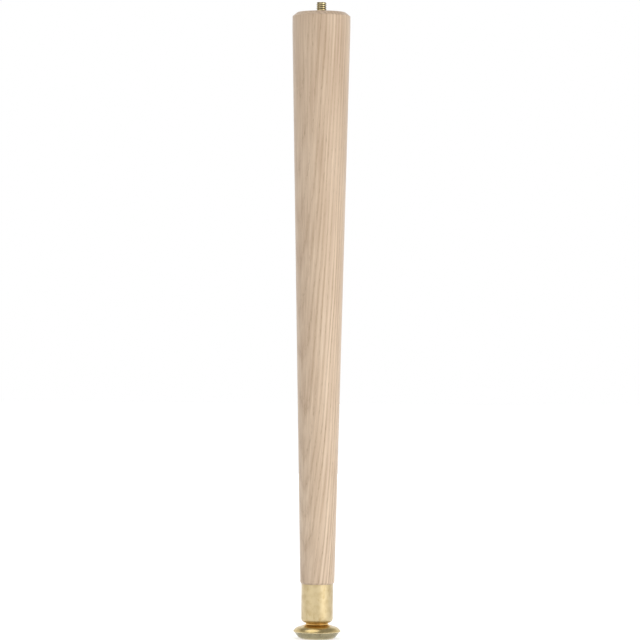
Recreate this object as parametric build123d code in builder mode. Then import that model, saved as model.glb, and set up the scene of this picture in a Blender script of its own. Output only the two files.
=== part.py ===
from build123d import *
from math import acos, asin, cos, degrees, radians, sin, sqrt, tan
import os

# Turned ash table leg with a drawn brass ferrule and a self-levelling foot. Sizes are in
# millimetres. The origin is the centre of the flat top and +Z points up along the hanger
# bolt, so the leg hangs below the origin as it does under a table.

# Whole leg
leg_length = 406.4  # flat top to sole, with the foot level

# Turned wood
top_diameter = 37.6
top_chamfer_width = 3.1
top_chamfer_height = 2.5
top_band_height = 8.5  # straight band below the chamfer, before the taper
bottom_diameter = 22.2
bottom_chamfer_width = 0.75
bottom_chamfer_height = 1.15
tenon_chamfer = 0.8

# Hanger bolt, a quarter-inch machine thread above and a wood screw below
thread_diameter = 6.35
thread_length = 6.6  # what stands above the wood
thread_tip_chamfer = 0.6
shank_diameter = 5.5
shank_length = 8.0
screw_core_diameter = 4.6
screw_length = 32.0
screw_point_length = 4.2
screw_point_diameter = 0.6
pilot_mouth_diameter = 7.0  # countersink that keeps the fibres from lifting

# Ferrule, drawn from sheet with a spherical socket pressed up into its bottom
ferrule_diameter = 20.6
ferrule_height = 25.15
ferrule_wall = 0.8
ferrule_land = 0.1  # flat ring between the bottom's rounded corner and the socket's mouth
mouth_chamfer = 0.3
floor_chamfer = 1.3  # inside the cup, behind the rounded corner

# Swivel
swivel_height = 6.5  # centre of the ball joint above the sole
ferrule_above_swivel = 3.95  # lowest part of the ferrule above that centre
tilt_limit = 6.0  # degrees each way, about X and about Y
tilt_gap = 0.25  # room left round the rivet at the end of the tilt
socket_gap = 0.25  # between the foot's boss and the ferrule's socket
washer_gap = 0.2  # between the socket and the dished washer
washer_thickness = 0.8
washer_lap = 0.8  # least cover of the washer on the socket
rivet_diameter = 3.2
rivet_running_gap = 0.05
rivet_seat_gap = 0.1  # under each head of the rivet
rivet_head_lap = 0.5  # least cover of the upper head on the washer
rivet_head_height = 1.2
rivet_head_chamfer = 0.4
rivet_tail_lap = 1.6  # cover of the lower head on the boss
rivet_tail_height = 1.1
chamber_gap = 2.0  # between the rivet's upper head and the end of the tenon

# Foot, a turned cap with a spherical boss that bears the load, closed by a base plug
boss_margin = 2.3  # ring of the ferrule's bottom round the boss
boss_bore_gap = 0.6  # round the rivet's lower head, which spins in the boss's bore
boss_roof = 0.8  # between the boss's flat top and the seat of the rivet's lower head
boss_foot_angle = 21.0  # elevation on the boss's sphere where the bend to the dome starts
crown_margin = 0.53  # from there out to the dome's crown
crown_angle = 16.7  # slope of the crown
skirt_radius = 5.75  # rounding of the dome from the crown down to the rim
skirt_angle = 62.0  # slope at the rim
dome_radius = 15.3
rim_drop = 1.45  # rim's upper edge below the swivel's centre
rim_width = 0.2  # how far the rim stands out from the dome
rim_thickness = 0.65
recess_height = 0.6  # how far the recess for the base reaches above the rim
plug_radius = 13.9
base_top_gap = 0.05  # between the base's plug and the roof of its recess
base_radius = 14.85
sole_corner_radius = 11.3  # where the base's slanted wall would meet the sole
sole_chamfer = 1.2

# How many conical bands stand for a rounding
corner_band_count = 3
sphere_band_count = 3
skirt_band_count = 3
hidden_band_count = 2

# Levels
sole_z = -leg_length
swivel_z = sole_z + swivel_height
ferrule_bottom_z = swivel_z + ferrule_above_swivel
shoulder_z = ferrule_bottom_z + ferrule_height
rim_z = swivel_z - rim_drop
floor_z = ferrule_bottom_z + ferrule_wall

# Spheres about the swivel's centre, from the boss outwards
boss_radius = ferrule_diameter / 2 - boss_margin
socket_radius = boss_radius + socket_gap
socket_top_radius = socket_radius + ferrule_wall
washer_seat_radius = socket_top_radius + washer_gap
washer_top_radius = washer_seat_radius + washer_thickness

# Holes and covers that leave the rivet its tilt
rivet_radius = rivet_diameter / 2
single_tilt = radians(tilt_limit)
double_tilt = radians(tilt_limit * sqrt(2))
socket_hole_radius = rivet_radius + socket_top_radius * sin(double_tilt) + tilt_gap
washer_radius = socket_hole_radius + washer_seat_radius * sin(single_tilt) + washer_lap
washer_hole_radius = rivet_radius + washer_top_radius * sin(single_tilt) + tilt_gap

# Rivet: the upper head's flat underside clears the tilted washer's inner edge
washer_crest = washer_top_radius * cos(asin(washer_hole_radius / washer_top_radius) - single_tilt)
rivet_seat_height = washer_crest + rivet_seat_gap
rivet_head_radius = washer_hole_radius + rivet_seat_height * sin(single_tilt) + rivet_head_lap
rivet_head_z = swivel_z + rivet_seat_height
rivet_tail_head_radius = rivet_radius + rivet_tail_lap
boss_bore_radius = rivet_tail_head_radius + boss_bore_gap
boss_top_z = swivel_z + sqrt(boss_radius**2 - boss_bore_radius**2)
boss_seat_z = boss_top_z - boss_roof
rivet_tail_z = boss_seat_z - rivet_seat_gap

# Tenon
tenon_radius = ferrule_diameter / 2 - ferrule_wall
tenon_end_z = rivet_head_z + rivet_head_height + chamber_gap

# Hidden length of the hanger bolt
shank_end_z = -shank_length
screw_end_z = shank_end_z - screw_length
point_z = screw_end_z - screw_point_length


# Turned wood, with a tenon for the ferrule and a pilot hole for the hanger bolt
with BuildPart() as wood_leg:
    with BuildSketch(Plane.XZ):
        with BuildLine():
            Polyline(
                (0, 0),
                (top_diameter / 2 - top_chamfer_width, 0),
                (top_diameter / 2, -top_chamfer_height),
                (top_diameter / 2, -top_chamfer_height - top_band_height),
                (bottom_diameter / 2, shoulder_z + bottom_chamfer_height),
                (bottom_diameter / 2 - bottom_chamfer_width, shoulder_z),
                (tenon_radius, shoulder_z),
                (tenon_radius, tenon_end_z + tenon_chamfer),
                (tenon_radius - tenon_chamfer, tenon_end_z),
                (0, tenon_end_z),
                close=True,
            )
        make_face()
    revolve(axis=Axis.Z)
    with BuildSketch(Plane.XZ):
        with BuildLine():
            Polyline(
                (0, 0),
                (pilot_mouth_diameter / 2, 0),
                (shank_diameter / 2, (shank_diameter - pilot_mouth_diameter) / 2),
                (shank_diameter / 2, shank_end_z),
                (screw_core_diameter / 2, shank_end_z),
                (screw_core_diameter / 2, point_z),
                (0, point_z),
                close=True,
            )
        make_face()
    revolve(axis=Axis.Z, mode=Mode.SUBTRACT)
wood_leg.part.label = "wood_leg"


# Hanger bolt, its machine thread standing on the flat top
with BuildPart() as hanger_bolt:
    with BuildSketch(Plane.XZ):
        with BuildLine():
            Polyline(
                (0, thread_length),
                (thread_diameter / 2 - thread_tip_chamfer, thread_length),
                (thread_diameter / 2, thread_length - thread_tip_chamfer),
                (thread_diameter / 2, 0),
                (shank_diameter / 2, 0),
                (shank_diameter / 2, shank_end_z),
                (screw_core_diameter / 2, shank_end_z),
                (screw_core_diameter / 2, screw_end_z),
                (screw_point_diameter / 2, point_z),
                (0, point_z),
                close=True,
            )
        make_face()
    revolve(axis=Axis.Z)
hanger_bolt.part.label = "hanger_bolt"


# Rounding of a turned section, as points on a circle
def band_points(centre, radius, start, stop, bands):
    angles = [radians(start + (stop - start) * step / bands) for step in range(bands + 1)]
    return [(centre[0] + radius * cos(angle), centre[1] + radius * sin(angle)) for angle in angles]


def sphere_points(radius, start, stop, bands):
    return band_points((0, swivel_z), radius, start, stop, bands)


# Ferrule: a straight cup whose bottom curls under and rises into the socket
mouth_z = ferrule_bottom_z + mouth_chamfer
mouth_angle = degrees(asin((mouth_z - swivel_z) / socket_radius))
mouth_radius = socket_radius * cos(radians(mouth_angle))
corner_x = mouth_radius + mouth_chamfer + ferrule_land
ferrule_corner_radius = ferrule_diameter / 2 - corner_x
corner_z = ferrule_bottom_z + ferrule_corner_radius
with BuildPart() as ferrule:
    with BuildSketch(Plane.XZ):
        with BuildLine():
            Polyline(
                (ferrule_diameter / 2, shoulder_z),
                *band_points((corner_x, corner_z), ferrule_corner_radius, 0, -90, corner_band_count),
                (mouth_radius + mouth_chamfer, ferrule_bottom_z),
                *sphere_points(
                    socket_radius,
                    mouth_angle,
                    degrees(acos(socket_hole_radius / socket_radius)),
                    sphere_band_count,
                ),
                *sphere_points(
                    socket_top_radius,
                    degrees(acos(socket_hole_radius / socket_top_radius)),
                    degrees(asin((floor_z - swivel_z) / socket_top_radius)),
                    hidden_band_count,
                ),
                (tenon_radius - floor_chamfer, floor_z),
                (tenon_radius, floor_z + floor_chamfer),
                (tenon_radius, shoulder_z),
                close=True,
            )
        make_face()
    revolve(axis=Axis.Z)
ferrule.part.label = "ferrule"


# Coned washer that rides on the inside of the socket
with BuildPart() as swivel_washer:
    with BuildSketch(Plane.XZ):
        with BuildLine():
            Polyline(
                (washer_hole_radius, swivel_z + sqrt(washer_seat_radius**2 - washer_hole_radius**2)),
                (washer_radius, swivel_z + sqrt(washer_seat_radius**2 - washer_radius**2)),
                (washer_radius, swivel_z + sqrt(washer_top_radius**2 - washer_radius**2)),
                (washer_hole_radius, swivel_z + sqrt(washer_top_radius**2 - washer_hole_radius**2)),
                close=True,
            )
        make_face()
    revolve(axis=Axis.Z)
swivel_washer.part.label = "swivel_washer"


# Rivet that hangs the foot from the washer, with a flat head at each end
with BuildPart() as swivel_rivet:
    with BuildSketch(Plane.XZ):
        with BuildLine():
            Polyline(
                (0, rivet_head_z + rivet_head_height),
                (rivet_head_radius - rivet_head_chamfer, rivet_head_z + rivet_head_height),
                (rivet_head_radius, rivet_head_z + rivet_head_height - rivet_head_chamfer),
                (rivet_head_radius, rivet_head_z),
                (rivet_radius, rivet_head_z),
                (rivet_radius, rivet_tail_z),
                (rivet_tail_head_radius, rivet_tail_z),
                (rivet_tail_head_radius, rivet_tail_z - rivet_tail_height),
                (0, rivet_tail_z - rivet_tail_height),
                close=True,
            )
        make_face()
    revolve(axis=Axis.Z)
swivel_rivet.part.label = "swivel_rivet"


# Foot shell: a dome that rises into a spherical boss, bored from below
crown_radius = boss_radius * cos(radians(boss_foot_angle)) + crown_margin
skirt_x = dome_radius - skirt_radius * sin(radians(skirt_angle))
skirt_z = rim_z - skirt_radius * cos(radians(skirt_angle))
skirt = band_points(
    (skirt_x, skirt_z),
    skirt_radius,
    90 - crown_angle,
    90 - skirt_angle,
    skirt_band_count,
)
crown_z = skirt[0][1] + (skirt[0][0] - crown_radius) * tan(radians(crown_angle))
rim_radius = dome_radius + rim_width
rivet_hole_radius = rivet_radius + rivet_running_gap
recess_z = rim_z + recess_height
with BuildPart() as foot_shell:
    with BuildSketch(Plane.XZ):
        with BuildLine():
            Polyline(
                (rivet_hole_radius, boss_top_z),
                *sphere_points(
                    boss_radius,
                    degrees(acos(boss_bore_radius / boss_radius)),
                    boss_foot_angle,
                    sphere_band_count,
                ),
                (crown_radius, crown_z),
                *skirt,
                (rim_radius, rim_z),
                (rim_radius, rim_z - rim_thickness),
                (plug_radius, rim_z - rim_thickness),
                (plug_radius, recess_z),
                (boss_bore_radius, recess_z),
                (boss_bore_radius, boss_seat_z),
                (rivet_hole_radius, boss_seat_z),
                close=True,
            )
        make_face()
    revolve(axis=Axis.Z)
foot_shell.part.label = "foot_shell"


# Base: a plug held in the recess, and below it a slanted wall and a flat sole
with BuildPart() as foot_base:
    with BuildSketch(Plane.XZ) as base_section:
        with BuildLine():
            Polyline(
                (0, sole_z),
                (sole_corner_radius, sole_z),
                (base_radius, rim_z - rim_thickness),
                (plug_radius, rim_z - rim_thickness),
                (plug_radius, recess_z - base_top_gap),
                (0, recess_z - base_top_gap),
                close=True,
            )
        make_face()
        sole_corner = base_section.vertices().group_by(Axis.Y)[0].sort_by(Axis.X)[-1]
        chamfer(sole_corner, sole_chamfer)
    revolve(axis=Axis.Z)
foot_base.part.label = "foot_base"


os.makedirs("parts", exist_ok=True)
for piece in (wood_leg, hanger_bolt, ferrule, swivel_washer, swivel_rivet, foot_shell, foot_base):
    export_step(piece.part, f"parts/{piece.part.label}.step")
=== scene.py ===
"""Looks for a turned ash table leg with a brass ferrule and a self-levelling foot.

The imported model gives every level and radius. Each visible piece is turned again here at a
finer resolution, with the small roundings and the screw thread of the real one, and gets a
procedural finish. Lengths are in metres unless a name ends in _mm.
"""

import logging
import math
from dataclasses import dataclass
from enum import Enum
from typing import Any, Callable, Sequence

import bmesh
import bpy
from bpy.types import Material, Mesh, Node, NodeSocket as Socket, NodeTree, Object
from mathutils import Color, Matrix, Vector

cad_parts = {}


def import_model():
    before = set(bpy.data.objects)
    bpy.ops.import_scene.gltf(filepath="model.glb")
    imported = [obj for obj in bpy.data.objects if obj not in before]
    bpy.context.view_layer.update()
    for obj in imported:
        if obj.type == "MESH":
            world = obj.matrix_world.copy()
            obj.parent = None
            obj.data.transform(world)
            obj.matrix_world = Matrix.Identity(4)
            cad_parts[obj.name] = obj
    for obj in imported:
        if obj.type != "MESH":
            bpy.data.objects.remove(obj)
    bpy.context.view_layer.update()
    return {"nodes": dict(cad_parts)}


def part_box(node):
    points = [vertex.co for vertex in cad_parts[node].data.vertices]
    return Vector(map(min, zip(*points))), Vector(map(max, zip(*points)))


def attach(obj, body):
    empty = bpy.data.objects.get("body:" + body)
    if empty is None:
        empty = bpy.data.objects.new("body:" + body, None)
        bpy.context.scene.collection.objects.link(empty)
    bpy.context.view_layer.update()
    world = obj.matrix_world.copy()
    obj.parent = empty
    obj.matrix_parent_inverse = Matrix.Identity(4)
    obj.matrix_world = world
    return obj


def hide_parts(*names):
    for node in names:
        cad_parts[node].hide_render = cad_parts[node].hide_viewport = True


LOG = logging.getLogger("table_leg")
MM = 0.001

Point = tuple[float, float]
Place = tuple[float, float, float]
Colour = tuple[float, float, float]
Band = tuple[float, float]
Placer = Callable[[Any, Any], Socket]


class Body(Enum):
    """Bodies of the moving model that the pieces ride on."""

    LEG = "leg"
    FOOT = "foot"


class Slot(Enum):
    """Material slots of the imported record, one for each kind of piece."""

    WOOD = "ash_wood"
    BOLT = "plated_bolt"
    FERRULE = "ferrule_brass"
    FOOT = "foot_brass"


def colour(red: int, green: int, blue: int) -> Colour:
    """Gives the linear values of a screen colour whose channels are 0 to 255."""
    return tuple(Color((red / 255, green / 255, blue / 255)).from_srgb_to_scene_linear())


@dataclass(frozen=True)
class Layer:
    """A layer of noise and what it does.

    A stretch below 1 draws its swings out along Z. Scale is how many it has in a millimetre,
    and detail how many finer layers lie on it. It acts within a band of its value, by up to
    its gain.
    """

    stretch: float
    scale: float
    detail: float
    band: Band = (0.3, 0.7)
    gain: float = 1.0


class NodeBench:
    """Adds nodes to one node tree and joins them."""

    def __init__(self, tree: NodeTree) -> None:
        """Keeps the tree that is worked on, for shaders or geometry."""
        self.tree = tree

    def add(self, kind: str, **settings: Any) -> Node:
        """Adds a node.

        Args:
            kind: Blender's identifier of the node.
            **settings: Properties to set on it.

        Returns:
            The new node.
        """
        node = self.tree.nodes.new(kind)
        for name, value in settings.items():
            setattr(node, name, value)
        return node

    def feed(self, socket: Socket, value: Any) -> None:
        """Links a socket to another one, or sets its constant.

        Args:
            socket: Input to feed.
            value: Output socket, or a plain value.
        """
        if isinstance(value, Socket):
            self.tree.links.new(value, socket)
        elif isinstance(value, tuple) and socket.type == "RGBA":
            socket.default_value = (*value, 1.0)
        else:
            socket.default_value = value

    def feed_all(self, node: Node, inputs: dict[str | int, Any]) -> None:
        """Feeds inputs of a node, by name or number."""
        for key, value in inputs.items():
            self.feed(node.inputs[key], value)

    def call(self, kind: str, inputs: dict[str | int, Any], **settings: Any) -> Socket:
        """Adds a node and feeds its inputs.

        Args:
            kind: Blender's identifier of the node.
            inputs: Values or sockets, by input name or number.
            **settings: Properties to set on it.

        Returns:
            The node's first output.
        """
        node = self.add(kind, **settings)
        self.feed_all(node, inputs)
        return node.outputs[0]

    def math(self, operation: str, *values: Any) -> Socket:
        """Adds a Math node and returns its result."""
        return self.call("ShaderNodeMath", dict(enumerate(values)), operation=operation)

    def vector(self, x: Any, y: Any, z: Any) -> Socket:
        """Joins three numbers into a vector."""
        return self.call("ShaderNodeCombineXYZ", {"X": x, "Y": y, "Z": z})

    def parts(self, vector: Socket) -> list[Socket]:
        """Splits a vector into its three numbers."""
        return list(self.call("ShaderNodeSeparateXYZ", {0: vector}).node.outputs)

    def noise(self, place: Sequence[Socket], layer: Layer) -> Socket:
        """Gives a layer's smooth noise, 0 to 1.

        Args:
            place: X, Y and Z of where it is read, in millimetres.
            layer: Its stretch, scale and detail.

        Returns:
            The noise's value.
        """
        x, y, z = place
        vector = self.vector(x, y, self.math("MULTIPLY", z, layer.stretch))
        inputs = {"Vector": vector, "Scale": layer.scale, "Detail": layer.detail}
        return self.call("ShaderNodeTexNoise", inputs)

    def spread(self, value: Any, band: Band, start: float = 0.0, stop: float = 1.0) -> Socket:
        """Maps a band of a value to a range, clamped and eased at both ends."""
        inputs = {0: value, 1: band[0], 2: band[1], 3: start, 4: stop}
        return self.call("ShaderNodeMapRange", inputs, interpolation_type="SMOOTHSTEP")

    def pulse(self, value: Any, rise: Band, fall: Band) -> Socket:
        """Gives 1 between a rise and a fall, and 0 beyond them."""
        return self.math("MULTIPLY", self.spread(value, rise), self.spread(value, fall, 1.0, 0.0))

    def blend(self, share: Any, first: Any, second: Any) -> Socket:
        """Mixes two colours, with this share of the second one."""
        inputs = {0: share, 6: first, 7: second}
        return self.call("ShaderNodeMix", inputs, data_type="RGBA").node.outputs[2]


class Finish:
    """Base of the finishes: a material with one Principled shader."""

    name: str

    def material(self) -> Material:
        """Builds the material.

        Returns:
            The new material, with its nodes joined.
        """
        material = bpy.data.materials.new(self.name)
        material.use_nodes = True
        bench = NodeBench(material.node_tree)
        bench.tree.nodes.clear()
        shader = bench.add("ShaderNodeBsdfPrincipled")
        output = bench.add("ShaderNodeOutputMaterial")
        bench.feed(output.inputs["Surface"], shader.outputs["BSDF"])
        self.dress(bench, shader)
        return material

    def place_mm(self, bench: NodeBench) -> list[Socket]:
        """Gives X, Y and Z of the point on the piece, in millimetres."""
        inputs = {0: bench.add("ShaderNodeTexCoord").outputs["Object"], "Scale": 1 / MM}
        return bench.parts(bench.call("ShaderNodeVectorMath", inputs, operation="SCALE"))

    def bump(self, bench: NodeBench, shader: Node, height: Any, depth_mm: float) -> None:
        """Raises the surface by a height, whose 0 lies depth_mm below its 1."""
        inputs = {"Height": height, "Distance": depth_mm * MM, "Strength": 1.0}
        bench.feed(shader.inputs["Normal"], bench.call("ShaderNodeBump", inputs))

    def dress(self, bench: NodeBench, shader: Node) -> None:
        """Feeds the shader. Each finish has its own."""
        raise NotImplementedError


@dataclass(frozen=True)
class AshFinish(Finish):
    """Pale ash under a thin satin lacquer, as growth rings cut through by the turning.

    The tree's heart lies far behind the leg on its right, so the rings show as fine lines in
    front and on the right, and as soft patches on the left, where the surface runs along
    them. Each ring is early wood with pores and then late wood. How strongly both show
    changes from year to year, from least to least plus more.
    """

    name: str = "ash_lacquered"
    light: Colour = colour(227, 204, 178)
    middle: Colour = colour(208, 183, 156)
    dark: Colour = colour(183, 154, 126)
    pore: Colour = colour(150, 122, 94)
    middle_tone: float = 0.45
    heart_distance_mm: float = 160.0
    heart_azimuth: float = 128.0
    ring_mm: float = 2.25
    lean: float = 0.02
    lean_growth: float = 0.00012
    wander: Layer = Layer(0.12, 0.05, 1.0, gain=6.0)
    wiggle: Layer = Layer(0.05, 0.22, 1.0, gain=1.1)
    early_rise: Band = (0.0, 0.16)
    early_fall: Band = (0.2, 0.46)
    early_least: float = 0.26
    early_more: float = 0.34
    late_rise: Band = (0.45, 0.75)
    late_fall: Band = (0.8, 1.0)
    late_least: float = 0.2
    late_more: float = 0.25
    along_rings: Band = (0.3, 0.95)
    clear_along_rings: float = 0.4
    upper_depth_mm: Band = (0.0, 300.0)
    upper_clear: Band = (0.32, 0.7)
    lower_depth_mm: Band = (320.0, 380.0)
    lower_clear: float = 0.3
    fibre: Layer = Layer(0.02, 0.75, 2.0, (0.25, 0.75), 0.2)
    fine: Layer = Layer(0.03, 2.6, 2.0, gain=0.07)
    patch: Layer = Layer(0.2, 0.07, 2.0, gain=0.1)
    # Painted light: the wood's tone is darker at the top and lighter towards the bottom, standing
    # in for how the lamps and the floor light it.
    fade_mm: Band = (0.0, 400.0)
    fade: float = 0.06
    dash: Layer = Layer(0.07, 3.0, 1.0, (0.56, 0.68))
    pore_least: float = 0.1
    pore_more: float = 0.42
    roughness: Band = (0.42, 0.52)
    coat: float = 0.4
    coat_roughness: float = 0.32
    fine_height: float = 0.35
    bump_mm: float = 0.03

    def dress(self, bench: NodeBench, shader: Node) -> None:
        """Feeds the shader with rings, fibres and pores that run along the leaning grain.

        Args:
            bench: The tree.
            shader: Principled shader.
        """
        x, y, z = self.place_mm(bench)
        depth = bench.math("MULTIPLY", z, -1.0)
        slope = bench.math("MULTIPLY_ADD", depth, self.lean_growth, self.lean)
        across = bench.math("MULTIPLY_ADD", depth, slope, x)
        place = (across, y, z)
        ring = self.ring(bench, place)
        share = bench.math("FRACT", ring)
        inputs = {"W": bench.math("FLOOR", ring)}
        year = bench.call("ShaderNodeTexWhiteNoise", inputs, noise_dimensions="1D")
        early = bench.pulse(share, self.early_rise, self.early_fall)
        late = bench.pulse(share, self.late_rise, self.late_fall)
        early_show = bench.math("MULTIPLY_ADD", year, self.early_more, self.early_least)
        late_show = bench.math("MULTIPLY_ADD", year, self.late_more, self.late_least)
        darker = bench.math("MULTIPLY", early, early_show)
        lines = bench.math("SUBTRACT", darker, bench.math("MULTIPLY", late, late_show))

        fine = bench.noise(place, self.fine)
        tone = bench.math("MULTIPLY_ADD", lines, self.clearness(bench, depth), self.middle_tone)
        for value, band, gain in (
            (bench.noise(place, self.fibre), self.fibre.band, self.fibre.gain),
            (fine, self.fine.band, self.fine.gain),
            (bench.noise(place, self.patch), self.patch.band, self.patch.gain),
            # Painted light: darker at the top, lighter lower down.
            (depth, self.fade_mm, self.fade),
        ):
            tone = bench.math("ADD", tone, bench.spread(value, band, gain, -gain))
        ramp = bench.call("ShaderNodeValToRGB", {"Fac": tone})
        stops = ramp.node.color_ramp.elements
        stops[0].color = (*self.light, 1.0)
        stops[1].color = (*self.dark, 1.0)
        stops.new(self.middle_tone).color = (*self.middle, 1.0)

        dashes = bench.spread(bench.noise(place, self.dash), self.dash.band)
        open_pores = bench.math("MULTIPLY_ADD", early, self.pore_more, self.pore_least)
        pores = bench.math("MULTIPLY", dashes, open_pores)
        inputs = {
            "Base Color": bench.blend(pores, ramp, self.pore),
            "Roughness": bench.spread(fine, self.fine.band, *self.roughness),
            "Coat Weight": self.coat,
            "Coat Roughness": self.coat_roughness,
        }
        bench.feed_all(shader, inputs)
        height = bench.math("SUBTRACT", bench.math("MULTIPLY", fine, self.fine_height), pores)
        self.bump(bench, shader, height, self.bump_mm)

    def towards_heart(self) -> Point:
        """Gives X and Y of the direction from the leg to the tree's heart."""
        turn = math.radians(self.heart_azimuth)
        return math.sin(turn), -math.cos(turn)

    def ring(self, bench: NodeBench, place: Sequence[Socket]) -> Socket:
        """Counts the growth rings out to a point.

        Args:
            bench: The tree.
            place: The point, with the grain's lean taken out.

        Returns:
            The ring's number and the share of it that has grown.
        """
        heart_x, heart_y = (side * self.heart_distance_mm for side in self.towards_heart())
        from_heart_x = bench.math("SUBTRACT", place[0], heart_x)
        from_heart_y = bench.math("SUBTRACT", place[1], heart_y)
        squares = bench.math("MULTIPLY", from_heart_x, from_heart_x)
        squares = bench.math("MULTIPLY_ADD", from_heart_y, from_heart_y, squares)
        growth = bench.math("SQRT", squares)
        for layer in (self.wander, self.wiggle):
            growth = bench.math("MULTIPLY_ADD", bench.noise(place, layer), layer.gain, growth)
        return bench.math("DIVIDE", growth, self.ring_mm)

    def clearness(self, bench: NodeBench, depth: Socket) -> Socket:
        """Gives how clearly the rings show: less where the surface runs along them, more lower.

        Args:
            bench: The tree.
            depth: Millimetres below the top.

        Returns:
            The clearness, 0 to 1.
        """
        heart_x, heart_y = self.towards_heart()
        normal_x, normal_y, _ = bench.parts(bench.add("ShaderNodeTexCoord").outputs["Normal"])
        facing = bench.math("MULTIPLY", normal_y, heart_y)
        facing = bench.math("MULTIPLY_ADD", normal_x, heart_x, facing)
        facing = bench.math("ABSOLUTE", facing)
        clear = bench.spread(facing, self.along_rings, 1.0, self.clear_along_rings)
        upper = bench.spread(depth, self.upper_depth_mm, *self.upper_clear)
        lower = bench.spread(depth, self.lower_depth_mm, 0.0, self.lower_clear)
        return bench.math("MULTIPLY", clear, bench.math("ADD", upper, lower))


@dataclass(frozen=True)
class MetalFinish(Finish):
    """Metal with turning marks round Z, faint smudges and a soft gloss.

    A warmer tone lies within inner_mm of the axis: painted reflection that stands in for the
    orange of brass mirrored in brass. A pale painted highlight lies below
    worn_below_mm, and painted shade darkens a thread's roots from root_mm out to
    crest_mm, up to clean_above_mm. Their first values leave them out.
    """

    name: str
    base: Colour
    tarnish: Colour
    roughness: float
    smudge: Colour = colour(176, 150, 98)
    coat: float = 0.0
    coat_roughness: float = 0.3
    marks: Layer = Layer(1.0, 9.0, 2.0)
    mark_drift: float = 0.04
    mark_depth_mm: float = 0.0012
    mark_roughness: float = 0.06
    dents: Layer = Layer(1.0, 0.18, 1.0)
    dent_depth_mm: float = 0.004
    clouds: Layer = Layer(1.0, 0.22, 3.0, (0.4, 0.7), 0.6)
    spots: Layer = Layer(0.4, 0.55, 2.0, (0.56, 0.72), 0.5)
    rough_band: Band = (0.3, 0.7)
    rough_change: Band = (0.85, 1.3)
    # Painted shade: dark colour of a thread's roots, standing in for the shade that falls between
    # its crests.
    grime: Colour = colour(74, 56, 34)
    root_mm: float = -2.0
    crest_mm: float = -1.0
    clean_above_mm: float = 0.0
    # Painted reflection: warmer brass within inner_mm of the axis, standing in for the orange of
    # brass mirrored in brass in the foot's neck.
    inner: Colour = colour(228, 186, 112)
    inner_mm: float = -9.0
    inner_fade_mm: float = 2.5
    inner_share: float = 0.85
    # Painted highlight: a pale tone below a height, standing in for light mirrored on a rim or
    # edge.
    worn: Colour = colour(250, 236, 200)
    worn_below_mm: float = -1000.0
    worn_share: float = 0.65
    edge_mm: float = 0.3
    grazing: Colour = (1.0, 1.0, 1.0)

    def dress(self, bench: NodeBench, shader: Node) -> None:
        """Feeds the shader with smudges and fine rings round the axis.

        Args:
            bench: The tree.
            shader: Principled shader.
        """
        place = self.place_mm(bench)
        x, y, z = place
        out = bench.math("MULTIPLY_ADD", x, x, bench.math("MULTIPLY", y, y))
        out = bench.math("SQRT", out)
        drift = [bench.math("MULTIPLY", side, self.mark_drift) for side in (x, y)]
        marks = bench.noise((*drift, bench.math("ADD", z, out)), self.marks)
        cloud = bench.noise(place, self.clouds)
        spots = bench.noise(place, self.spots)
        # Painted reflection: warmth near the axis, fading outwards.
        inner_band = (self.inner_mm, self.inner_mm + self.inner_fade_mm)
        # Band of the painted highlight, below a height.
        painted_highlight_band = (self.worn_below_mm - self.edge_mm, self.worn_below_mm)
        # Painted shade: full at a thread's root, none at its crest, and only below the chamfered
        # top of the thread.
        root_shade_top_band = (self.clean_above_mm - self.edge_mm, self.clean_above_mm)
        root_shade_share = bench.spread(out, (self.root_mm, self.crest_mm), 1.0, 0.0)
        below_end = bench.spread(z, root_shade_top_band, 1.0, 0.0)
        tint = self.base
        for share, tone in (
            (bench.spread(cloud, self.clouds.band, 0.0, self.clouds.gain), self.tarnish),
            (bench.spread(spots, self.spots.band, 0.0, self.spots.gain), self.smudge),
            # Painted reflection: warmer brass near the axis.
            (bench.spread(out, inner_band, self.inner_share, 0.0), self.inner),
            # Painted highlight: paler below a height.
            (bench.spread(z, painted_highlight_band, self.worn_share, 0.0), self.worn),
            # Painted shade in a thread's roots.
            (bench.math("MULTIPLY", root_shade_share, below_end), self.grime),
        ):
            tint = bench.blend(share, tint, tone)
        smooth, rough = (self.roughness * change for change in self.rough_change)
        gloss = bench.spread(cloud, self.rough_band, smooth, rough)
        gloss = bench.math("MULTIPLY_ADD", marks, self.mark_roughness, gloss)
        inputs = {
            "Base Color": tint,
            "Roughness": gloss,
            "Metallic": 1.0,
            "Specular Tint": self.grazing,
            "Coat Weight": self.coat,
            "Coat Roughness": self.coat_roughness,
        }
        bench.feed_all(shader, inputs)
        share = self.mark_depth_mm / self.dent_depth_mm
        height = bench.math("MULTIPLY_ADD", marks, share, bench.noise(place, self.dents))
        self.bump(bench, shader, height, self.dent_depth_mm)


@dataclass(frozen=True)
class FloorFinish(Finish):
    """Plain white floor that shows only the shadow to the camera."""

    name: str = "floor_white"
    paint: Colour = colour(236, 236, 236)
    roughness: float = 0.9
    gloss: float = 0.1
    glow: float = 0.5
    glow_in_metal: float = 0.55

    def dress(self, bench: NodeBench, shader: Node) -> None:
        """Feeds the shader and lifts what the camera and the metal see to white.

        Args:
            bench: The tree.
            shader: Principled shader.
        """
        rays = bench.add("ShaderNodeLightPath").outputs
        mirrored = bench.math("MAXIMUM", rays["Is Glossy Ray"], rays["Is Transmission Ray"])
        lift = bench.math("MULTIPLY", mirrored, self.glow_in_metal)
        lift = bench.math("MULTIPLY_ADD", rays["Is Camera Ray"], self.glow, lift)
        inputs = {
            "Base Color": self.paint,
            "Roughness": self.roughness,
            "Specular IOR Level": self.gloss,
            "Emission Color": (1.0, 1.0, 1.0),
            "Emission Strength": lift,
        }
        bench.feed_all(shader, inputs)


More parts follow.
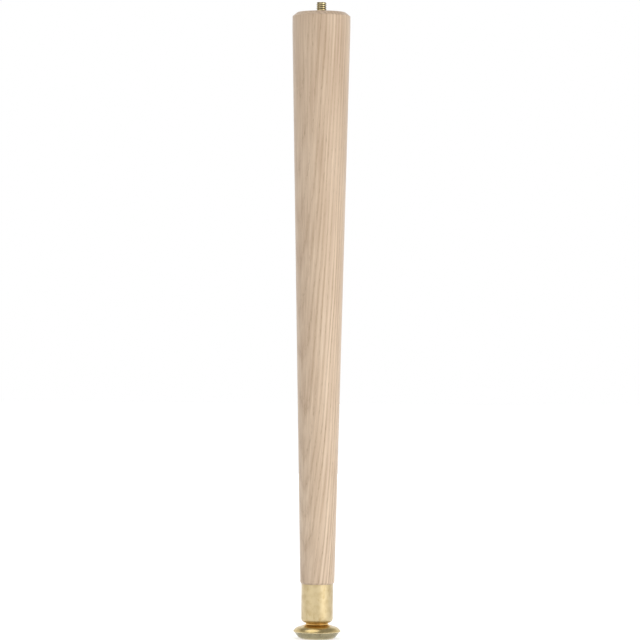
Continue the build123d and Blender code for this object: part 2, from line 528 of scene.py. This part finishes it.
# Finishes of the metal pieces
FERRULE_BRASS = MetalFinish(
    name="ferrule_brass_satin",
    base=colour(204, 185, 143),
    tarnish=colour(188, 166, 121),
    roughness=0.34,
    coat=0.6,
)
SHELL_BRASS = MetalFinish(
    name="foot_brass_turned",
    base=colour(212, 190, 138),
    tarnish=colour(190, 168, 112),
    roughness=0.16,
    # Painted reflection: the boss and its bend are warmer, standing in for brass mirrored in brass
    # in the neck.
    inner_mm=8.2,
    # Painted highlight: the rim's edge and underside are paler, standing in for the bright ring
    # that light draws on it.
    worn_below_mm=-401.4,
)
# The base's own plating is greyer than the shell's brass, and its darker tones are painted shade,
# standing in for the shadowed floor that it faces and mirrors.
BASE_BRASS = MetalFinish(
    name="foot_base_brass_greyer_and_shaded",
    base=colour(159, 151, 124),
    tarnish=colour(141, 132, 105),
    smudge=colour(132, 120, 92),
    roughness=0.22,
    # Painted reflection: the sole's rounded edge is paler, standing in for the lit floor that it
    # mirrors.
    worn=colour(186, 177, 145),
    worn_below_mm=-404.9,
)
SWIVEL_STEEL = MetalFinish(
    name="swivel_steel_bright",
    base=colour(190, 190, 186),
    tarnish=colour(170, 168, 160),
    smudge=colour(150, 146, 138),
    roughness=0.3,
)
BOLT_ZINC = MetalFinish(
    name="bolt_yellow_zinc",
    base=colour(214, 198, 152),
    tarnish=colour(176, 152, 104),
    smudge=colour(140, 118, 84),
    roughness=0.17,
    mark_depth_mm=0.0006,
    dent_depth_mm=0.002,
    # Painted shade darkens the thread's roots, from 2.6 mm out to the crest, below 6.15 mm.
    root_mm=2.6,
    crest_mm=3.25,
    clean_above_mm=6.15,
    grazing=(0.3, 0.24, 0.16),
)


@dataclass(frozen=True)
class Corner:
    """A corner of a turned section and the radius that rounds it."""

    radius: float
    height: float
    rounding: float = 0.0

    @property
    def spot(self) -> Vector:
        """Gives the corner as a vector in the section's plane."""
        return Vector((self.radius, self.height))


def arc(centre: Point, radius: float, start: float, stop: float, steps: int) -> list[Corner]:
    """Gives evenly spaced points on a circle.

    Args:
        centre: Radius and height of its centre.
        radius: Radius of the circle.
        start: First angle in degrees, from the outward direction.
        stop: Last angle in degrees.
        steps: Number of spaces between the points.

    Returns:
        The points as corners with no rounding.
    """
    points = []
    for step in range(steps + 1):
        angle = math.radians(start + (stop - start) * step / steps)
        out, up = radius * math.cos(angle), radius * math.sin(angle)
        points.append(Corner(centre[0] + out, centre[1] + up))
    return points


def section(corners: Sequence[Corner], steps: int = 6) -> list[Point]:
    """Rounds the corners of an open outline.

    Beside each rounding stands one more point on the straight, at a quarter of its radius or
    0.3 mm, so that shading stays flat along it.

    Args:
        corners: Outline from axis to axis, or back to its first corner.
        steps: Spaces along each rounding.

    Returns:
        Radius and height of every point.
    """
    points: list[Point] = []
    for number, corner in enumerate(corners):
        inner = 0 < number < len(corners) - 1
        if not corner.rounding or not inner:
            points.append((corner.radius, corner.height))
            continue
        back = (corners[number - 1].spot - corner.spot).normalized()
        ahead = (corners[number + 1].spot - corner.spot).normalized()
        half = math.acos(max(-1.0, min(1.0, back.dot(ahead)))) / 2
        reach = corner.rounding / math.tan(half)
        centre = corner.spot + (back + ahead).normalized() * corner.rounding / math.sin(half)
        first = corner.spot + back * reach - centre
        last = corner.spot + ahead * reach - centre
        sweep = math.pi - 2 * half
        margin = min(corner.rounding / 4, 0.3 * MM)
        points.append(tuple(corner.spot + back * (reach + margin)))
        for step in range(steps + 1):
            share = step / steps
            before = math.sin((1 - share) * sweep) / math.sin(sweep)
            after = math.sin(share * sweep) / math.sin(sweep)
            points.append(tuple(centre + first * before + last * after))
        points.append(tuple(corner.spot + ahead * (reach + margin)))
    return points


@dataclass(frozen=True)
class Thread:
    """Sizes of a screw thread, with a field for each number that the thread's tree takes.

    Tip is its radius at the top end, where a cone trims it. Point is the slope of the cone
    that sharpens its bottom end, and one as steep as the first value leaves it blunt.
    """

    root: float
    crest: float
    pitch: float
    bottom: float
    top: float
    tip: float
    rows: int
    point: float = 100.0


class Lathe:
    """Geometry Nodes trees that spin a section and cut a screw thread about Z.

    A thread's crest ends and its root starts at shares of half its pitch.
    """

    segments: int = 128
    thread_segments: int = 72
    merge: float = 2e-7
    sharp_angle: float = 32.0
    crest_end: float = 0.42
    root_start: float = 0.8
    point_radius: float = 0.3 * MM

    def __init__(self) -> None:
        """Builds both trees."""
        self.spin_tree = self._spin_tree()
        self.thread_tree = self._thread_tree()

    def _new_tree(self, name: str, kinds: dict[str, str]) -> tuple[NodeBench, dict[str, Socket]]:
        """Makes a tree with named inputs.

        Args:
            name: Name of the tree.
            kinds: Kind of socket of each input, by its name.

        Returns:
            The bench on the tree, and the input sockets by name.
        """
        tree = bpy.data.node_groups.new(name, "GeometryNodeTree")
        for label, kind in kinds.items():
            kind = "NodeSocket" + kind
            tree.interface.new_socket(label, in_out="INPUT", socket_type=kind)
        tree.interface.new_socket("Geometry", in_out="OUTPUT", socket_type="NodeSocketGeometry")
        bench = NodeBench(tree)
        entry = bench.add("NodeGroupInput")
        return bench, {label: entry.outputs[label] for label in kinds}

    def _wrap(self, bench: NodeBench, given: dict[str, Socket], rows: Any, place: Placer) -> None:
        """Adds a grid of points that go to their places, and closes, smooths and paints it.

        Args:
            bench: The tree.
            given: Its input sockets.
            rows: Number of points along the section.
            place: Function of the column's turn and the row that gives a point's place.
        """
        columns = bench.math("ADD", given["Segments"], 1.0)
        inputs = {"Vertices X": columns, "Vertices Y": rows}
        grid = bench.call("GeometryNodeMeshGrid", inputs)
        index = bench.call("GeometryNodeInputIndex", {})
        column = bench.math("DIVIDE", bench.math("ADD", index, 0.5), rows)
        column = bench.math("FLOOR", column)
        row = bench.math("SUBTRACT", index, bench.math("MULTIPLY", column, rows))
        turn = bench.math("DIVIDE", column, given["Segments"])
        inputs = {"Geometry": grid, "Position": place(turn, row)}
        moved = bench.call("GeometryNodeSetPosition", inputs)
        inputs = {"Geometry": moved, "Distance": self.merge}
        merged = bench.call("GeometryNodeMergeByDistance", inputs)
        smooth = bench.call("GeometryNodeSetShadeSmooth", {0: merged, 2: True}, domain="FACE")
        angle = bench.call("GeometryNodeInputMeshEdgeAngle", {})
        inputs = {0: angle, 1: math.radians(self.sharp_angle)}
        sharp = bench.call("FunctionNodeCompare", inputs, operation="GREATER_THAN")
        inputs = {0: smooth, 1: sharp, 2: False}
        creased = bench.call("GeometryNodeSetShadeSmooth", inputs, domain="EDGE")
        real = bench.call("GeometryNodeRealizeInstances", {0: creased})
        inputs = {"Geometry": real, "Material": given["Material"]}
        painted = bench.call("GeometryNodeSetMaterial", inputs)
        bench.feed(bench.add("NodeGroupOutput").inputs[0], painted)

    def _turned(self, bench: NodeBench, point: Socket, turn: Any) -> Socket:
        """Gives where a share of a turn about Z brings a point."""
        inputs = {"Vector": point, "Angle": bench.math("MULTIPLY", turn, math.tau)}
        return bench.call("ShaderNodeVectorRotate", inputs, rotation_type="Z_AXIS")

    def _spin_tree(self) -> NodeTree:
        """Builds the tree that spins the points of a section, given as a mesh in the XZ plane.

        Returns:
            The tree.
        """
        kinds = {"Geometry": "Geometry", "Segments": "Int", "Material": "Material"}
        bench, given = self._new_tree("lathe_spin", kinds)
        rows = bench.call("GeometryNodeAttributeDomainSize", {0: given["Geometry"]})
        position = bench.call("GeometryNodeInputPosition", {})
        inputs = {"Geometry": given["Geometry"], "Value": position}
        settings = {"data_type": "FLOAT_VECTOR", "domain": "POINT"}

        def place(turn: Any, row: Any) -> Socket:
            """Spins the section's point of this row by a share of a turn."""
            point = bench.call("GeometryNodeSampleIndex", {**inputs, "Index": row}, **settings)
            return self._turned(bench, point, turn)

        self._wrap(bench, given, rows, place)
        return bench.tree

    def _thread_tree(self) -> NodeTree:
        """Builds the tree that cuts a right-hand thread between two heights.

        A cone trims the top end, and another can sharpen the bottom end to a point.

        Returns:
            The tree.
        """
        numbers = ("Root", "Crest", "Pitch", "Bottom", "Top", "Tip", "Point")
        kinds = {"Rows": "Int", "Segments": "Int", "Material": "Material"}
        kinds = dict.fromkeys(numbers, "Float") | kinds
        bench, given = self._new_tree("lathe_thread", kinds)
        flank_range = {1: self.crest_end, 2: self.root_start, 3: 1.0, 4: 0.0}

        def place(turn: Any, row: Any) -> Socket:
            """Puts a point on the thread's flank, or on the axis in the first and last rows.

            Args:
                turn: Share of a turn.
                row: Number of the point along the thread.

            Returns:
                The point's place.
            """
            last = bench.math("SUBTRACT", given["Rows"], 3.0)
            share = bench.math("DIVIDE", bench.math("SUBTRACT", row, 1.0), last)
            share = bench.math("MAXIMUM", bench.math("MINIMUM", share, 1.0), 0.0)
            length = bench.math("SUBTRACT", given["Top"], given["Bottom"])
            height = bench.math("MULTIPLY_ADD", share, length, given["Bottom"])
            phase = bench.math("SUBTRACT", bench.math("DIVIDE", height, given["Pitch"]), turn)
            phase = bench.math("FRACT", phase)
            flank = bench.math("ABSOLUTE", bench.math("MULTIPLY_ADD", phase, 2.0, -1.0))
            flank = bench.call("ShaderNodeMapRange", {0: flank, **flank_range})
            rise = bench.math("SUBTRACT", given["Crest"], given["Root"])
            radius = bench.math("MULTIPLY_ADD", flank, rise, given["Root"])
            from_top = bench.math("SUBTRACT", given["Top"], height)
            radius = bench.math("MINIMUM", radius, bench.math("ADD", from_top, given["Tip"]))
            above = bench.math("SUBTRACT", height, given["Bottom"])
            sharp = bench.math("MULTIPLY_ADD", above, given["Point"], self.point_radius)
            radius = bench.math("MINIMUM", radius, sharp)
            before_end = bench.math("LESS_THAN", row, bench.math("SUBTRACT", given["Rows"], 1.5))
            inside = bench.math("MULTIPLY", bench.math("GREATER_THAN", row, 0.5), before_end)
            point = bench.vector(bench.math("MULTIPLY", radius, inside), 0.0, height)
            return self._turned(bench, point, turn)

        self._wrap(bench, given, given["Rows"], place)
        return bench.tree

    def _run(self, name: str, source: Mesh, tree: NodeTree, values: dict[str, Any]) -> Object:
        """Runs a tree on a mesh and keeps the result as a plain object.

        Args:
            name: Name of the piece.
            source: Mesh that the tree starts from.
            tree: One of the lathe's trees.
            values: Its inputs by name.

        Returns:
            The finished object, at the origin.
        """
        maker = bpy.data.objects.new(name + "_maker", source)
        bpy.context.scene.collection.objects.link(maker)
        modifier = maker.modifiers.new("lathe", "NODES")
        modifier.node_group = tree
        for item in tree.interface.items_tree:
            if item.item_type == "SOCKET" and item.in_out == "INPUT" and item.name in values:
                modifier[item.identifier] = values[item.name]
        maker.update_tag()
        graph = bpy.context.evaluated_depsgraph_get()
        mesh = bpy.data.meshes.new_from_object(maker.evaluated_get(graph), depsgraph=graph)
        mesh.name = name
        bpy.data.objects.remove(maker)
        solid = bmesh.new()
        solid.from_mesh(mesh)
        if solid.calc_volume(signed=True) < 0:
            mesh.flip_normals()
        solid.free()
        piece = bpy.data.objects.new(name, mesh)
        bpy.context.scene.collection.objects.link(piece)
        return piece

    def spin(self, name: str, points: Sequence[Point], material: Material) -> Object:
        """Turns a section into a solid.

        Args:
            name: Name of the piece.
            points: Radius and height of each point of the closed section, from axis to axis
                or back to the first point.
            material: Finish of the piece.

        Returns:
            The finished object.
        """
        mesh = bpy.data.meshes.new(name + "_section")
        mesh.from_pydata([(radius, 0.0, height) for radius, height in points], [], [])
        values = {"Segments": self.segments, "Material": material}
        return self._run(name, mesh, self.spin_tree, values)

    def thread(self, name: str, sizes: Thread, material: Material) -> Object:
        """Cuts a screw thread.

        Args:
            name: Name of the piece.
            sizes: Sizes of the thread.
            material: Finish of the piece.

        Returns:
            The finished object.
        """
        mesh = bpy.data.meshes.new(name + "_section")
        values = {label.title(): value for label, value in vars(sizes).items()}
        values |= {"Segments": self.thread_segments, "Material": material}
        return self._run(name, mesh, self.thread_tree, values)


def join(name: str, pieces: Sequence[Object]) -> Object:
    """Joins objects that belong to one physical piece.

    Args:
        name: Name of the result.
        pieces: Objects at the origin.

    Returns:
        The joined object.
    """
    bpy.ops.object.select_all(action="DESELECT")
    for piece in pieces:
        piece.select_set(True)
    bpy.context.view_layer.objects.active = pieces[0]
    bpy.ops.object.join()
    pieces[0].name = name
    return pieces[0]


@dataclass
class Assembly:
    """Base of the sub-assemblies: what they share to make and place a piece."""

    lathe: Lathe

    def settle(self, piece: Object, node: str, body: Body, slot: Slot) -> None:
        """Puts a finished piece in place of a node and on its body.

        Args:
            piece: Finished object.
            node: CAD node that it replaces.
            body: Body that it rides on.
            slot: Material slot of the imported record; not used.
        """
        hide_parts(node)
        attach(piece, body.value)
        LOG.info("%s stands for %s on body %s", piece.name, node, body.value)


@dataclass
class WoodenLeg(Assembly):
    """The turned wood and the hanger bolt in its top."""

    top_chamfer_width: float = 3.1 * MM
    top_chamfer_height: float = 2.5 * MM
    band_height: float = 8.5 * MM
    taper_bend: float = 40 * MM
    bottom_radius: float = 11.1 * MM
    bottom_chamfer_width: float = 0.75 * MM
    bottom_chamfer_height: float = 1.15 * MM
    edge: float = 0.45 * MM
    fine_edge: float = 0.12 * MM
    ferrule_wall: float = 0.8 * MM
    tenon_chamfer: float = 0.8 * MM
    pilot_radius: float = 2.3 * MM
    mouth_radius: float = 3.5 * MM
    mouth_depth: float = 0.75 * MM
    shank_radius: float = 2.75 * MM
    shank_length: float = 8.0 * MM
    shank_start: float = 0.2 * MM
    shank_gap: float = 0.02 * MM
    shank_top_edge: float = 0.1 * MM
    shank_end_edge: float = 0.2 * MM
    screw_root: float = 1.85 * MM
    screw_overlap: float = 0.1 * MM
    screw_point_length: float = 4.2 * MM
    screw_pitch: float = 2.6 * MM
    screw_rows: int = 260
    thread_start: float = 0.5 * MM
    thread_pitch: float = 1.27 * MM
    thread_depth: float = 0.6 * MM
    thread_rows: int = 170
    tip_chamfer: float = 0.4 * MM

    def turn_wood(self, finish: Finish) -> None:
        """Turns the wood, with its tenon and the bolt's pilot hole.

        Args:
            finish: Finish of the wood.
        """
        low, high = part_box("wood_leg")
        ferrule_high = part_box("ferrule")[1]
        pilot_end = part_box("hanger_bolt")[0][2]
        radius = high[0]
        tenon = ferrule_high[0] - self.ferrule_wall
        shoulder = ferrule_high[2]
        corners = [
            Corner(0.0, pilot_end),
            Corner(self.pilot_radius, pilot_end),
            Corner(self.pilot_radius, -self.shank_length),
            Corner(self.shank_radius, -self.shank_length),
            Corner(self.shank_radius, -self.mouth_depth),
            Corner(self.mouth_radius, 0.0, self.fine_edge),
            Corner(radius - self.top_chamfer_width, 0.0, self.edge),
            Corner(radius, -self.top_chamfer_height, self.edge),
            Corner(radius, -self.top_chamfer_height - self.band_height, self.taper_bend),
            Corner(self.bottom_radius, shoulder + self.bottom_chamfer_height, self.edge),
            Corner(self.bottom_radius - self.bottom_chamfer_width, shoulder, self.fine_edge),
            Corner(tenon, shoulder),
            Corner(tenon, low[2] + self.tenon_chamfer),
            Corner(tenon - self.tenon_chamfer, low[2]),
            Corner(0.0, low[2]),
        ]
        piece = self.lathe.spin("turned_wood", section(corners), finish.material())
        self.settle(piece, "wood_leg", Body.LEG, Slot.WOOD)

    def cut_bolt(self, finish: Finish) -> None:
        """Cuts the bolt: machine thread above, plain shank and wood screw below.

        Args:
            finish: Finish of the bolt.
        """
        low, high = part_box("hanger_bolt")
        material = finish.material()
        crest = high[0]
        machine = Thread(
            root=crest - self.thread_depth,
            crest=crest,
            pitch=self.thread_pitch,
            bottom=-self.thread_start,
            top=high[2],
            tip=crest - self.tip_chamfer,
            rows=self.thread_rows,
        )
        shank_radius = self.shank_radius - self.shank_gap
        shank = [
            Corner(0.0, -self.shank_start),
            Corner(shank_radius, -self.shank_start, self.shank_top_edge),
            Corner(shank_radius, -self.shank_length, self.shank_end_edge),
            Corner(0.0, -self.shank_length),
        ]
        screw = Thread(
            root=self.screw_root,
            crest=self.pilot_radius,
            pitch=self.screw_pitch,
            bottom=low[2],
            top=-self.shank_length + self.screw_overlap,
            tip=self.pilot_radius,
            rows=self.screw_rows,
            point=self.pilot_radius / self.screw_point_length,
        )
        pieces = [
            self.lathe.thread("bolt_machine_thread", machine, material),
            self.lathe.spin("bolt_shank", section(shank), material),
            self.lathe.thread("bolt_wood_screw", screw, material),
        ]
        self.settle(join("hanger_bolt_threaded", pieces), "hanger_bolt", Body.LEG, Slot.BOLT)


@dataclass
class Ferrule(Assembly):
    """The drawn brass cup with the socket in its bottom."""

    wall: float = 0.8 * MM
    land: float = 0.1 * MM
    mouth_chamfer: float = 0.3 * MM
    lip_rounding: float = 0.18 * MM
    corner_start: float = 0.4 * MM
    floor_chamfer: float = 1.3 * MM
    socket_radius: float = 8.25 * MM
    hole_radius: float = 3.185 * MM

    def draw(self, finish: Finish, swivel: float) -> None:
        """Draws the cup.

        Args:
            finish: Finish of the cup.
            swivel: Height of the swivel's centre.
        """
        low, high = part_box("ferrule")
        radius, bottom, top = high[0], low[2], high[2]
        outer = self.socket_radius + self.wall
        mouth = math.degrees(math.asin((bottom + self.mouth_chamfer - swivel) / self.socket_radius))
        hole = math.degrees(math.acos(self.hole_radius / self.socket_radius))
        hole_top = math.degrees(math.acos(self.hole_radius / outer))
        floor = math.degrees(math.asin((bottom + self.wall - swivel) / outer))
        mouth_radius = self.socket_radius * math.cos(math.radians(mouth))
        land_end = mouth_radius + self.mouth_chamfer
        corner_radius = radius - land_end - self.land
        corner = (radius - corner_radius, bottom + corner_radius)
        inside = radius - self.wall
        corners = [
            Corner(inside, top - self.wall),
            Corner(inside, top, self.lip_rounding),
            Corner(radius, top, self.lip_rounding),
            Corner(radius, bottom + corner_radius + self.corner_start),
            *arc(corner, corner_radius, 0, -90, steps=14),
            Corner(land_end, bottom),
            *arc((0.0, swivel), self.socket_radius, mouth, hole, steps=12),
            *arc((0.0, swivel), outer, hole_top, floor, steps=12),
            Corner(inside - self.floor_chamfer, bottom + self.wall),
            Corner(inside, bottom + self.wall + self.floor_chamfer),
            Corner(inside, top - self.wall),
        ]
        piece = self.lathe.spin("drawn_ferrule", section(corners), finish.material())
        self.settle(piece, "ferrule", Body.LEG, Slot.FERRULE)


@dataclass
class LevellingFoot(Assembly):
    """The domed foot, its base, and the washer and rivet that hang it in the ferrule."""

    boss_radius: float = 8.0 * MM
    bore_radius: float = 3.8 * MM
    boss_roof: float = 0.8 * MM
    rivet_hole_radius: float = 1.65 * MM
    boss_foot_angle: float = 21.0
    crown_angle: float = 16.7
    skirt_radius: float = 5.75 * MM
    skirt_angle: float = 62.0
    dome_radius: float = 15.3 * MM
    rim_drop: float = 1.45 * MM
    rim_edge: float = 0.3 * MM
    rim_rounding: float = 0.1 * MM
    recess_height: float = 0.6 * MM
    plug_radius: float = 13.9 * MM
    sole_corner_radius: float = 11.3 * MM
    sole_rounding: float = 4.2 * MM
    swivel_above_sole: float = 6.5 * MM

    @property
    def swivel(self) -> float:
        """Gives the height of the swivel's centre."""
        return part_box("foot_base")[0][2] + self.swivel_above_sole

    def turn_shell(self, finish: Finish) -> None:
        """Turns the dome with its boss and rim.

        Args:
            finish: Finish of the shell.
        """
        low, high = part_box("foot_shell")
        base_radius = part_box("foot_base")[1][0]
        swivel, top = self.swivel, high[2]
        rim = swivel - self.rim_drop
        recess = rim + self.recess_height
        boss_top = math.degrees(math.asin((top - swivel) / self.boss_radius))
        skirt_turn = math.radians(self.skirt_angle)
        skirt_centre = (
            self.dome_radius - self.skirt_radius * math.sin(skirt_turn),
            rim - self.skirt_radius * math.cos(skirt_turn),
        )
        crown, skirt_end = 90 - self.crown_angle, 90 - self.skirt_angle
        skirt = arc(skirt_centre, self.skirt_radius, crown, skirt_end, steps=14)
        crown_turn = math.radians(self.crown_angle)
        crown_up = Vector((math.sin(crown_turn), math.cos(crown_turn)))
        foot_turn = math.radians(self.boss_foot_angle)
        boss_out = Vector((math.cos(foot_turn), math.sin(foot_turn)))
        boss_foot = Vector((0.0, swivel)) + boss_out * self.boss_radius
        bend_radius = (boss_foot - skirt[0].spot).dot(crown_up) / (1 - boss_out.dot(crown_up))
        bend_centre = tuple(boss_foot + boss_out * bend_radius)
        bend_start, bend_end = 180 + self.boss_foot_angle, 270 - self.crown_angle
        corners = [
            Corner(self.rivet_hole_radius, top - self.boss_roof),
            Corner(self.rivet_hole_radius, top),
            *arc((0.0, swivel), self.boss_radius, boss_top, self.boss_foot_angle, steps=16),
            *arc(bend_centre, bend_radius, bend_start, bend_end, steps=6),
            *skirt,
            Corner(high[0], rim, self.rim_rounding),
            Corner(high[0], rim - self.rim_edge, self.rim_rounding),
            Corner(base_radius, low[2]),
            Corner(self.plug_radius, low[2]),
            Corner(self.plug_radius, recess),
            Corner(self.bore_radius, recess),
            Corner(self.bore_radius, top - self.boss_roof),
            Corner(self.rivet_hole_radius, top - self.boss_roof),
        ]
        piece = self.lathe.spin("domed_foot_shell", section(corners), finish.material())
        self.settle(piece, "foot_shell", Body.FOOT, Slot.FOOT)

    def turn_base(self, finish: Finish) -> None:
        """Turns the base with its slanted wall and rounded sole.

        Args:
            finish: Finish of the base.
        """
        low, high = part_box("foot_base")
        rim_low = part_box("foot_shell")[0][2]
        corners = [
            Corner(0.0, low[2]),
            Corner(self.sole_corner_radius, low[2], self.sole_rounding),
            Corner(high[0], rim_low),
            Corner(self.plug_radius, rim_low),
            Corner(self.plug_radius, high[2]),
            Corner(0.0, high[2]),
        ]
        piece = self.lathe.spin("foot_base_plug", section(corners, steps=10), finish.material())
        self.settle(piece, "foot_base", Body.FOOT, Slot.FOOT)

    def dress_swivel(self, finish: Finish, nodes: dict[str, Object]) -> None:
        """Gives the hidden washer and rivet their finish.

        Args:
            finish: Finish of both.
            nodes: CAD nodes by name.
        """
        material = finish.material()
        for name in ("swivel_washer", "swivel_rivet"):
            nodes[name].data.materials.clear()
            nodes[name].data.materials.append(material)
            LOG.info("%s keeps its CAD form", name)


@dataclass(frozen=True)
class Glow:
    """Part of the studio that metal shows brighter or darker, by its gain.

    It is full within the first angle from its direction and ends at the second, in degrees.
    """

    towards: Place
    full: float
    end: float
    gain: float


@dataclass(frozen=True)
class Lamp:
    """Soft lamp that faces a point on the leg's axis.

    Azimuth is degrees to the right of the camera, seen from above, elevation degrees above
    the point and reach the distance from it. Power is in watts.
    """

    name: str
    azimuth: float
    elevation: float
    reach: float
    size: Point
    power: float
    aim: float = -0.2


@dataclass(frozen=True)
class Studio:
    """Camera, white surroundings, floor and soft lamps.

    The glows are a softbox in the ceiling, a bright window at the right, a softer panel at
    the left, and a dark flag beyond each of these two.
    """

    distance: float = 2.143
    focal_mm: float = 185.66
    sensor_mm: float = 36.0
    eye_height: float = -0.1996
    eye_x: float = 0.0005
    roll: float = -0.43
    surround: float = 0.62
    ceiling: float = 0.38
    ceiling_rise: Band = (0.42, 0.78)
    glows: tuple[Glow, ...] = (
        Glow((-0.27, -0.15, 0.95), 15.0, 26.0, 1.3),
        Glow((0.74, -0.67, 0.1), 12.0, 26.0, 2.0),
        Glow((-0.766, -0.643, 0.05), 6.0, 22.0, 0.4),
        Glow((-1.0, -0.1, 0.0), 8.0, 28.0, -0.38),
        Glow((1.0, 0.4, 0.0), 8.0, 26.0, -0.45),
    )
    lamps: tuple[Lamp, ...] = (
        Lamp("key", 50.0, 6.0, 0.75, (0.8, 0.24), 2.4, aim=-0.36),
        Lamp("fill", -60.0, 10.0, 2.2, (1.6, 1.4), 6.2),
        Lamp("top", 0.0, 80.0, 1.6, (1.2, 1.2), 3.0),
        Lamp("back", 176.0, 12.0, 2.2, (1.6, 1.4), 3.6),
    )
    floor_size: float = 12.0

    def place_camera(self) -> None:
        """Puts the camera in front of the leg, level with its middle."""
        data = bpy.data.cameras.new("camera")
        data.lens = self.focal_mm
        data.sensor_width = self.sensor_mm
        data.clip_end = 50.0
        camera = bpy.data.objects.new("camera", data)
        eye = Matrix.Translation((self.eye_x, -self.distance, self.eye_height))
        roll = Matrix.Rotation(math.radians(self.roll), 4, "Y")
        camera.matrix_world = eye @ (roll @ Matrix.Rotation(math.radians(90), 4, "X"))
        bpy.context.scene.collection.objects.link(camera)
        bpy.context.scene.camera = camera

    def lay_floor(self, finish: Finish, level: float) -> None:
        """Lays the floor under the sole.

        Args:
            finish: Finish of the floor.
            level: Height of the sole.
        """
        half = self.floor_size / 2
        sides = ((-half, -half), (half, -half), (half, half), (-half, half))
        corners = [(x, y, level) for x, y in sides]
        mesh = bpy.data.meshes.new("floor")
        mesh.from_pydata(corners, [], [(0, 1, 2, 3)])
        mesh.materials.append(finish.material())
        floor = bpy.data.objects.new("floor", mesh)
        bpy.context.scene.collection.objects.link(floor)

    def hang_lamps(self) -> None:
        """Hangs the lamps. Metal shows the world's own glows instead of them."""
        for lamp in self.lamps:
            data = bpy.data.lights.new(lamp.name, "AREA")
            data.shape = "RECTANGLE"
            data.size, data.size_y = lamp.size
            data.energy = lamp.power
            light = bpy.data.objects.new(lamp.name, data)
            turn, rise = math.radians(lamp.azimuth), math.radians(lamp.elevation)
            level = math.cos(rise)
            away = Vector((math.sin(turn) * level, -math.cos(turn) * level, math.sin(rise)))
            light.location = Vector((0.0, 0.0, lamp.aim)) + away * lamp.reach
            light.rotation_euler = away.to_track_quat("Z", "Y").to_euler()
            light.visible_glossy = False
            light.visible_camera = False
            bpy.context.scene.collection.objects.link(light)

    def light_surroundings(self) -> None:
        """Makes the world white to the camera, even as light, and a studio in reflections.

        What metal shows is a white sweep all round, a dimmer ceiling, and the glows.
        """
        world = bpy.data.worlds.new("studio")
        bpy.context.scene.world = world
        world.use_nodes = True
        world.node_tree.nodes.clear()
        bench = NodeBench(world.node_tree)
        towards = bench.add("ShaderNodeTexCoord").outputs["Object"]
        mirrored = bench.spread(bench.parts(towards)[2], self.ceiling_rise, 1.0, self.ceiling)
        for glow in self.glows:
            inputs = {0: towards, 1: tuple(Vector(glow.towards).normalized())}
            near = bench.call("ShaderNodeVectorMath", inputs, operation="DOT_PRODUCT")
            near = near.node.outputs["Value"]
            band = (math.cos(math.radians(glow.end)), math.cos(math.radians(glow.full)))
            mirrored = bench.math("ADD", mirrored, bench.spread(near, band, 0.0, glow.gain))

        rays = bench.add("ShaderNodeLightPath").outputs
        in_metal = bench.math("MAXIMUM", rays["Is Glossy Ray"], rays["Is Transmission Ray"])
        strength = self.surround
        for share, seen in ((in_metal, mirrored), (rays["Is Camera Ray"], 1.0)):
            inputs = {0: share, 2: strength, 3: seen}
            strength = bench.call("ShaderNodeMix", inputs, data_type="FLOAT")
        inputs = {"Color": (1.0, 1.0, 1.0), "Strength": strength}
        output = bench.add("ShaderNodeOutputWorld")
        bench.feed(output.inputs["Surface"], bench.call("ShaderNodeBackground", inputs))


def main() -> None:
    """Builds the leg piece by piece, then the studio round it."""
    logging.basicConfig(level=logging.INFO, format="%(message)s")
    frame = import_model()

    lathe = Lathe()
    leg = WoodenLeg(lathe)
    leg.turn_wood(AshFinish())
    leg.cut_bolt(BOLT_ZINC)
    foot = LevellingFoot(lathe)
    Ferrule(lathe).draw(FERRULE_BRASS, foot.swivel)
    foot.turn_shell(SHELL_BRASS)
    foot.turn_base(BASE_BRASS)
    foot.dress_swivel(SWIVEL_STEEL, frame["nodes"])

    studio = Studio()
    studio.place_camera()
    studio.lay_floor(FloorFinish(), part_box("foot_base")[0][2])
    studio.light_surroundings()
    studio.hang_lamps()

    bpy.context.scene.view_settings.view_transform = "Standard"
    bpy.context.view_layer.update()


if __name__ == "__main__":
    main()
